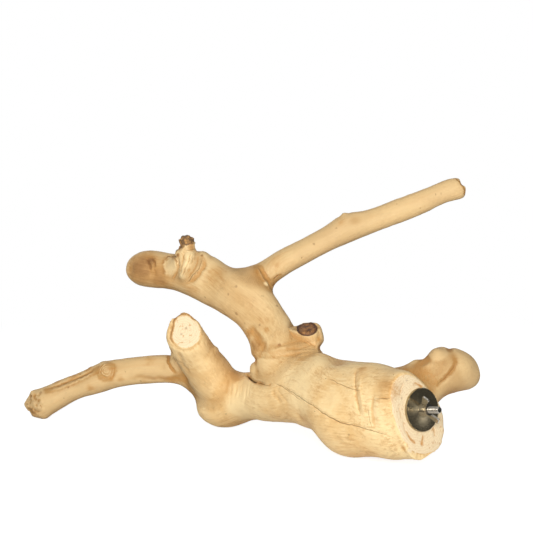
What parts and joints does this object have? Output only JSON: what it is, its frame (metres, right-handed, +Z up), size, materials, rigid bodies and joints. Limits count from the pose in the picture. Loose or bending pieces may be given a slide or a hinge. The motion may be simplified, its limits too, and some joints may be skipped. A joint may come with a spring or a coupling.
{
  "type": "bird perch",
  "caption": "Natural branching hardwood cage perch with a hanger bolt, two fender washers and a wing nut that clamp it to the cage bars.",
  "frame": {"origin": "on the bolt's axis, at the inner washer's clamping face, where the cage bars bear", "axes": "+Z up as the perch lies on a table, +Y from the mounting face along the trunk, +X to the right of the trunk seen from the mounting face"},
  "size_m": [0.4123, 0.5555, 0.3143],
  "materials": {
    "perch_wood": "sand-blasted bare hardwood, satin",
    "stainless_steel": "turned and stamped stainless steel"
  },
  "bodies": {
    "branch": {"trunk": "perch_wood", "front_stub": "perch_wood", "lower_limb": "perch_wood", "upper_limb": "perch_wood", "perch_limb": "perch_wood", "rear_stub": "perch_wood", "dead_knot": "perch_wood", "snag": "perch_wood", "hanger_bolt": "stainless_steel", "inner_washer": "stainless_steel"},
    "outer_washer": {"outer_washer": "stainless_steel"},
    "wing_nut": {"wing_nut": "stainless_steel"}
  },
  "joints": [
    {"name": "washer_slide", "type": "slide", "parent": "branch", "child": "outer_washer", "axis": [0, -0.9877, 0.1564], "range_m": [0, 0.01625]},
    {"name": "nut_spin", "type": "hinge", "parent": "outer_washer", "child": "wing_nut", "pos_m": [0, 0, 0], "axis": [0, -0.9877, 0.1564], "range_deg": [0, 4680]}
  ],
  "couplings": [
    {"joint": "nut_spin", "follows": "washer_slide", "rad_per_m": 5026.5}
  ]
}
